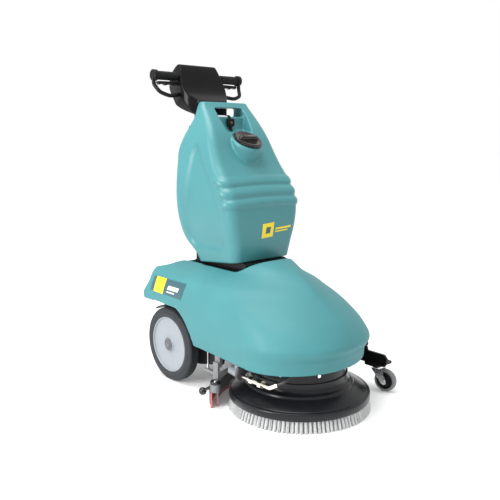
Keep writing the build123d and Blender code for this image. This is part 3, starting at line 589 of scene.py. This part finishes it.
def tank_cap():
    seat = CAP_AT - CAP_AXIS * 13.7
    profile = [(0.01, 0), (50, 0), (51, 1.5), (51, 9), (48.5, 12), (42, 12.6), (38, 10.5), (0.01, 10)]
    cap = lathe("tank_cap_top", profile, seat, CAP_AXIS)
    plug = lathe("plug", [(0.01, -16), (38, -16), (39.4, -14), (39.4, 1), (0.01, 1)], seat, CAP_AXIS)
    side, up = Vector((1, 0, 0)), CAP_AXIS.cross(Vector((1, 0, 0)))
    rings = []
    for height, wide, deep in ((6, 42, 15), (14, 41, 13), (19, 38, 11), (21.5, 33, 8)):
        ring = []
        for k in range(48):
            a = 2 * math.pi * k / 48
            c, s = math.cos(a), math.sin(a)
            u = wide * math.copysign(abs(c) ** 0.6, c)
            w = deep * math.copysign(abs(s) ** 0.8, s) * (1 - 0.28 * (1 - (u / wide) ** 2))
            ring.append(tuple(seat + CAP_AXIS * height + side * u + up * w))
        rings.append(ring)
    grip = stack("grip", rings)
    for i in range(28):
        a = 2 * math.pi * i / 28
        at = seat + (side * math.cos(a) + up * math.sin(a)) * 51.6
        cut_tool = lathe("notch", [(0.01, -2), (2.2, -2), (2.2, 14), (0.01, 14)], at, CAP_AXIS, 12)
        cut(cap, cut_tool)
    cap = smooth(joined("tank_cap_top", cap, plug, grip))
    return finish_piece(cap, "cap", SMOKE, "cap_dark", "tank_cap")


# ---------------------------------------------------------------- brush
def brush_tufts():
    """Rings of tufts, each a bundle of tapered filaments."""
    rng = np.random.default_rng(7)
    points, faces = [], []

    def filament(x, y, dx, dy, r):
        base = len(points)
        for z, share, width in ((BRISTLE_H, 0, 1.0), (18, 0.55, 1.0), (0.0, 1.0, 0.85)):
            for k in range(4):
                a = math.pi / 2 * k + 0.4
                px = x + dx * share + r * width * math.cos(a)
                py = y + dy * share + r * width * math.sin(a)
                points.append((px, py, z))
        for lay in range(2):
            for k in range(4):
                n = (k + 1) % 4
                low = base + 4 * lay
                faces.append((low + k, low + n, low + 4 + n, low + 4 + k))
        faces.append((base + 8, base + 9, base + 10, base + 11))

    for ring, radius in enumerate((222, 211, 198, 182, 164, 144, 122, 98, 74)):
        count = int(2 * math.pi * radius / (13.2 if ring < 3 else 15))
        outer = ring < 2
        for i in range(count):
            a = 2 * math.pi * (i + 0.5 * (ring % 2)) / count
            cx, cy = radius * math.cos(a), radius * math.sin(a)
            lean = rng.normal(0, 0.6)
            for _ in range(46 if outer else 8):
                spread = rng.uniform(0, 2 * math.pi)
                off = 4.5 * math.sqrt(rng.uniform())
                x, y = cx + off * math.cos(spread), cy + off * math.sin(spread)
                splay = (11 if ring == 0 else 6) + rng.uniform(-1.4, 1.4) + off * math.cos(spread - a) * 0.4
                side = lean + rng.normal(0, 0.3) + off * math.sin(spread - a) * 0.08
                dx = math.cos(a) * splay - math.sin(a) * side
                dy = math.sin(a) * splay + math.cos(a) * side
                reach = math.hypot(x + dx, y + dy)
                if reach > BRUSH_R - 1:
                    dx *= (BRUSH_R - 1) / reach
                    dy *= (BRUSH_R - 1) / reach
                filament(x, y, dx, dy, 0.72 if outer else 1.1)
    tufts = mesh_object("brush_tufts", points, faces)
    return finish_piece(tufts, "brush", BRISTLE, "bristle", "brush_bristles")


# ---------------------------------------------------------------- wheels
def wheel_pieces(side, word):
    x1 = WHEEL_OUT
    def at(profile):
        return [(r, side * x) for r, x in profile]
    tread = [(HUB_R, x1 - 45), (HUB_R + 8, x1 - 48), (118, x1 - 48), (122, x1 - 47), (128, x1 - 46.5),
             (133, x1 - 42), (136, x1 - 36)]
    for i in range(4):
        x = x1 - 34 + 6.4 * i
        tread += [(136, x), (133.6, x + 0.8), (133.6, x + 2.4), (136, x + 3.2)]
    tread += [(135.6, x1 - 8), (133, x1 - 4), (129, x1 - 1.6), (124, x1 - 0.6), (122.6, x1 - 1.6),
              (121.4, x1 - 1.6), (120, x1 - 0.4), (113, x1), (HUB_R + 7, x1 - 0.3), (HUB_R + 3, x1 - 1.6),
              (HUB_R, x1 - 3)]
    tyre = lathe("wheel_tyre_" + word, at(tread), (0, AXLE_Y, AXLE_Z), "x", 128)
    finish_piece(smooth(tyre, 40), "wheel_" + word, TYRE, "tyre_grey", "rear_tyre_" + word)
    disc = [(10.1, x1 - 46), (26, x1 - 46), (26, x1 - 16), (94, x1 - 16), (94, x1 - 45), (HUB_R, x1 - 45),
            (HUB_R, x1 - 2.5), (100.5, x1 - 1.2), (98.5, x1 - 1.2), (96.5, x1 - 3), (95.5, x1 - 7),
            (93, x1 - 8), (60, x1 - 9.5), (34, x1 - 9), (29, x1 - 6.5), (26.5, x1 - 2), (24.5, x1 - 1.6),
            (23.2, x1 - 2.6), (23, x1 - 9.9), (10.1, x1 - 9.9)]
    hub = lathe("wheel_disc_" + word, at(disc), (0, AXLE_Y, AXLE_Z), "x", 128)
    finish_piece(smooth(hub), "wheel_" + word, HUB, "wheel_grey", "rear_hub_" + word)
    cap = [(0.01, x1 - 9.9), (22.8, x1 - 9.9), (22.8, x1 - 1.2), (21.6, x1 + 0.2), (19, x1 + 0.8),
           (16.5, x1 - 0.2), (15, x1 - 1.4), (12.5, x1 - 1.4), (11.5, x1 + 0.2), (9, x1 + 1.4), (4, x1 + 2),
           (0.01, x1 + 2)]
    centre = lathe("wheel_cap_" + word, at(cap), (0, AXLE_Y, AXLE_Z), "x", 64)
    finish_piece(smooth(centre), "wheel_" + word, CAP_GREY, "cap_grey", "hub_cap_" + word)


# ---------------------------------------------------------------- deck
def deck_skirt():
    outer = [(233.5, 38), (235, 39.5), (235, 57), (234.2, 60), (232, 62), (229.5, 62.6), (227.8, 62.2),
             (226.2, 62.4), (224.5, 64), (222, 65.6), (205, 74.5), (190, 82.4), (183, 85.6), (180.6, 87),
             (179.6, 89), (179, 92), (177, 94), (171, 96.6), (165.5, 101), (162, 107), (160.5, 114),
             (160.5, 127)]
    inner = [(156.5, 128), (156.5, 104), (160, 99), (167, 92), (175, 88), (176, 83), (188, 78), (203, 70.5),
             (222, 61), (230, 57), (231, 38)]
    deck = smooth(lathe("deck_skirt", outer + inner, (0, 0, 0), "z", 192), 50)
    return finish_piece(deck, "chassis", DECK, "black_plastic", "deck_cover")


# ---------------------------------------------------------------- chassis side plates
def side_plates():
    """Lower edge of the chassis sides, and the inner wall over each rear wheel."""
    for side, word in ((-1, "right"), (1, "left")):
        low, high = sorted((side * 134.5, side * 141.5))
        outline = [(228, 182), (228, 112), (236, 104), (300, 90), (356, 76), (366, 74), (430, 74), (436, 80),
                   (436, 182)]
        plate = prism("chassis_skirt_" + word, outline, "x", low, high)
        edge = plate.modifiers.new("edge", "BEVEL")
        edge.width = 1.2 * MM
        edge.segments = 2
        smooth(bake(plate), 40)
        finish_piece(plate, "chassis", PAINT, "black_steel")
        low, high = sorted((side * 149, side * 154))
        wall_outline = [(487, 196), (558, 196), (566, 204), (566, 296), (487, 296)]
        wall = prism("wheel_wall_" + word, wall_outline, "x", low, high)
        edge = wall.modifiers.new("edge", "BEVEL")
        edge.width = 1.2 * MM
        edge.segments = 2
        smooth(bake(wall), 40)
        finish_piece(wall, "chassis", PAINT, "black_steel")


# ---------------------------------------------------------------- console
def console_top():
    side = [(538, 1145), (558, 1146), (582, 1120), (606, 1094), (610, 1078), (608, 1060), (600, 1046),
            (584, 1031), (570, 1016), (556, 1002), (534, 988), (507, 977), (475, 967), (456, 962),
            (458, 984), (452, 1004), (446, 1008), (447, 1013), (468, 1026), (486, 1040), (504, 1066)]
    body = prism("console_shell", eased(side), "x", -120, 120)
    front = [(-80, 1150), (-84, 1138), (-90, 1114), (-99, 1074), (-101, 1040), (-98, 1010), (-84, 980),
             (-66, 955), (66, 955), (84, 980), (98, 1010), (101, 1040), (99, 1074), (90, 1114), (84, 1138),
             (80, 1150)]
    cut(body, prism("front", eased(front), "y", 400, 640), "INTERSECT")
    plan = [(-78, 640), (-84, 600), (-95, 545), (-101, 505), (-88, 478), (-66, 456), (-62, 440), (62, 440),
            (66, 456), (88, 478), (101, 505), (95, 545), (84, 600), (78, 640)]
    cut(body, prism("plan", eased(plan), "z", 940, 1160), "INTERSECT")
    cut(body, prism("hole", [(-31, 484), (31, 484), (31, 526), (-31, 526)], "z", 940, 1030))
    soften(body, 1.8, 16)
    for x in (-45, 0, 40):
        cut(body, lathe("hole", [(0.01, -12), (9.4, -12), (9.4, 12), (0.01, 12)], (x, 584, 1118),
                        CONTROL_AXIS, 48))
    pieces = []
    for side in (-1, 1):
        corners = ((88, 1069), (109, 1069), (112, 1072), (112, 1079), (109, 1082), (88, 1082))
        ear = [(side * x, z) for x, z in corners]
        for y in (529, 547.4):
            pieces.append(prism("ear", ear, "y", y, y + 3.6))
        pin = [(0.01, 0), (2.5, 0), (2.5, 22), (0.01, 22)]
        pieces.append(lathe("pin", pin, (side * 107, 529, 1076), Vector((0, 1, 0)), 20))
    body = joined("console_shell", body, *pieces)
    return finish_piece(body, "chassis", GLOSS, "black_plastic", "console_housing", "column_fairing")


# ---------------------------------------------------------------- squeegee hand knobs
def ball_profile(radius, rings=16):
    """Half circle from pole to pole, for a turned ball."""
    turns = [math.pi * k / rings for k in range(rings + 1)]
    return [(max(0.01, radius * math.sin(a)), -radius * math.cos(a)) for a in turns]


def squeegee_knobs():
    pieces = []
    for side, word in ((-1, "right"), (1, "left")):
        at = (side * 240, 148, 88)
        ring = [(8, 0.2), (14, 0), (16.5, 1), (17.8, 3.4), (17.8, 6.2), (16.6, 8.8), (14, 10.2), (11.6, 10),
                (9.8, 8.2), (8.6, 5), (8, 4)]
        pieces.append(lathe("ring", ring, at, "z", 64))
        centre = [(0.01, 0.5), (8.4, 0.5), (8.4, 5), (7.4, 6.4), (5.4, 7.2), (4.8, 9.6), (4, 10.4),
                  (0.01, 10.6)]
        hub = smooth(lathe("knob_centre_" + word, centre, at, "z", 48))
        finish_piece(hub, "squeegee", ZINC, "bright_steel")
        start, end = Vector((side * 246, 162, 76)), Vector((side * 262, 188, 56))
        along = (end - start).normalized()
        reach = (end - start).length
        pieces.append(lathe("stub", [(0.01, 0), (4.9, 0), (4.9, reach), (0.01, reach)], start, along, 24))
        pieces.append(lathe("ball", ball_profile(13), end, along, 40))
    knobs = smooth(joined("squeegee_hand_knobs", *pieces), 40)
    return finish_piece(knobs, "squeegee", KNOB, "black_plastic", "squeegee_knobs")


# ---------------------------------------------------------------- tank strap
def strap_and_buckle():
    line = [(372, 958.5), (362, 959), (356.5, 955), (354.5, 948), (353, 935), (351.5, 922), (349, 913),
            (343, 907)]
    points, faces = [], []
    for i, (y, z) in enumerate(line):
        a, b = line[max(i - 1, 0)], line[min(i + 1, len(line) - 1)]
        run = Vector((b[0] - a[0], b[1] - a[1])).normalized()
        out = Vector((run.y, -run.x))
        for depth in (0.4, 2.6):
            for x in (-6, 6):
                points.append((x - 4, y + out.x * depth, z + out.y * depth))
    for i in range(len(line) - 1):
        a, b = 4 * i, 4 * i + 4
        faces += [(a, a + 1, b + 1, b), (a + 2, b + 2, b + 3, a + 3), (a, b, b + 2, a + 2),
                  (a + 1, a + 3, b + 3, b + 1)]
    last = 4 * (len(line) - 1)
    faces += [(0, 2, 3, 1), (last, last + 1, last + 3, last + 2)]
    band = smooth(mesh_object("tank_strap_band", points, faces), 50)
    finish_piece(band, "tank", GRIP, "black_plastic", "tank_strap")
    frame_line = [(-15, 946), (-13, 949), (13, 949), (15, 946), (16, 926), (13, 922), (-13, 922), (-16, 926)]
    buckle = prism("tank_buckle", [(x - 4, z) for x, z in frame_line], "y", 343.5, 352.5)
    cut(buckle, prism("slot", [(-14, 942), (6, 942), (6, 937), (-14, 937)], "y", 330, 346.5))
    cut(buckle, prism("slot", [(-14, 932), (6, 932), (6, 927), (-14, 927)], "y", 330, 346.5))
    edge = buckle.modifiers.new("edge", "BEVEL")
    edge.width = 1.4 * MM
    edge.segments = 3
    smooth(bake(buckle), 40)
    finish_piece(buckle, "tank", BLACK, "black_plastic")
    tongue = prism("tank_buckle_tongue", [(-9, 940), (1, 940), (1, 929), (-9, 929)], "y", 341.5, 346)
    edge = tongue.modifiers.new("edge", "BEVEL")
    edge.width = 1.2 * MM
    edge.segments = 2
    smooth(bake(tongue), 40)
    finish_piece(tongue, "tank", RUST, "cap_dark")


# ---------------------------------------------------------------- carried-over CAD nodes
CARRIED = {
    "brush_block": BLOCK, "drive_hub": STEEL, "deck_drum": DECK, "drum_screws": ZINC, "gearbox": INNER,
    "brush_motor": INNER, "motor_rotor": INNER, "chassis_frame": PAINT, "rear_axle": STEEL,
    "handle_column": PAINT, "tank_seat": BLACK, "solution_tank": BOWL, "vacuum_motor": INNER,
    "vacuum_fan": BOWL, "control_box": BLACK, "caster_arm": PAINT, "caster_stud": ZINC,
    "caster_fork": ZINC, "caster_axle": ZINC, "caster_wheel": BLACK, "caster_tyre": TREAD,
    "squeegee_body": GREY_METAL, "squeegee_blades": BLADE, "vacuum_hose": HOSE,
    "lift_cable": STEEL, "solution_filter": BOWL, "filter_cap": INNER, "solution_valve": NICKEL,
    "solution_hose": HOSE, "control_panel": BLACK, "key_switch": ZINC,
    "brush_button": GREEN, "vacuum_button": BLUE, "handlebar": PAINT,
    "lift_lever": PAINT, "battery_left": BLACK, "battery_right": BLACK, "squeegee_arm_left": GREY_METAL,
    "squeegee_arm_right": GREY_METAL, "grip_left": GRIP, "grip_right": GRIP, "hand_guard_left": BLACK,
    "hand_guard_right": BLACK, "trigger_left": BLACK, "trigger_right": BLACK,
}


def dress(node, finish):
    """A CAD node keeps its shape, and gets its finish and softened edges."""
    obj = NODES[node]
    obj.data.materials.clear()
    obj.data.materials.append(finish)
    obj.data.polygons.foreach_set("use_smooth", [True] * len(obj.data.polygons))
    weld = obj.modifiers.new("weld", "WELD")
    weld.merge_threshold = 1e-5
    edge = obj.modifiers.new("edge", "BEVEL")
    edge.width = 0.7 * MM
    edge.segments = 2
    edge.limit_method = "ANGLE"
    edge.angle_limit = math.radians(40)
    edge.use_clamp_overlap = True
    even = obj.modifiers.new("even", "WEIGHTED_NORMAL")
    even.keep_sharp = True


# ---------------------------------------------------------------- studio
def studio():
    paper = bpy.data.materials.new("studio_paper")
    paper.use_nodes = True
    shader = paper.node_tree.nodes["Principled BSDF"]
    shader.inputs["Base Color"].default_value = (0.92, 0.92, 0.92, 1)
    shader.inputs["Roughness"].default_value = 0.8
    shader.inputs["Specular IOR Level"].default_value = 0.15
    shader.inputs["Emission Color"].default_value = (1, 1, 1, 1)
    shader.inputs["Emission Strength"].default_value = 0.09
    spots = np.linspace(-30000, 30000, 13)
    points = [(x, y, -0.2) for x in spots for y in spots]
    corners = [13 * i + j for i in range(12) for j in range(12)]
    faces = [(k, k + 13, k + 14, k + 1) for k in corners]
    floor = mesh_object("studio_floor", points, faces)
    floor.data.materials.append(paper)
    world = bpy.data.worlds.new("studio_air")
    world.use_nodes = True
    world.node_tree.nodes["Background"].inputs["Color"].default_value = (1, 1, 1, 1)
    world.node_tree.nodes["Background"].inputs["Strength"].default_value = 1.0
    bpy.context.scene.world = world

    def softbox(name, at, size, power):
        lamp = bpy.data.lights.new(name, "AREA")
        lamp.shape = "RECTANGLE"
        lamp.size, lamp.size_y = size
        lamp.energy = power
        holder = bpy.data.objects.new(name, lamp)
        holder.location = at
        aim = Vector((0, 0.15, 0.45)) - Vector(at)
        holder.rotation_mode = "QUATERNION"
        holder.rotation_quaternion = aim.to_track_quat("-Z", "Y")
        bpy.context.scene.collection.objects.link(holder)

    softbox("overhead", (-0.7, 0.2, 3.2), (1.6, 1.6), 70)
    softbox("left_box", (-3.4, 0.4, 1.7), (0.9, 2.0), 110)


def camera():
    lens = bpy.data.cameras.new("view")
    lens.lens = 46.62
    lens.sensor_width = 36
    lens.clip_start = 0.05
    holder = bpy.data.objects.new("view", lens)
    holder.location = (-1.4868, -1.4426, 0.8786)
    holder.rotation_mode = "QUATERNION"
    holder.rotation_quaternion = Vector((0.65075, 0.74022, -0.16909)).to_track_quat("-Z", "Y")
    bpy.context.scene.collection.objects.link(holder)
    bpy.context.scene.camera = holder


for node_name, node_finish in CARRIED.items():
    dress(node_name, node_finish)
body_shell()
side_labels()
tank_body()
tank_films()
tank_cap()
brush_tufts()
for side_sign, side_word in ((-1, "right"), (1, "left")):
    wheel_pieces(side_sign, side_word)
deck_skirt()
side_plates()
console_top()
squeegee_knobs()
strap_and_buckle()
camera()
studio()
bpy.context.scene.view_settings.view_transform = "Standard"
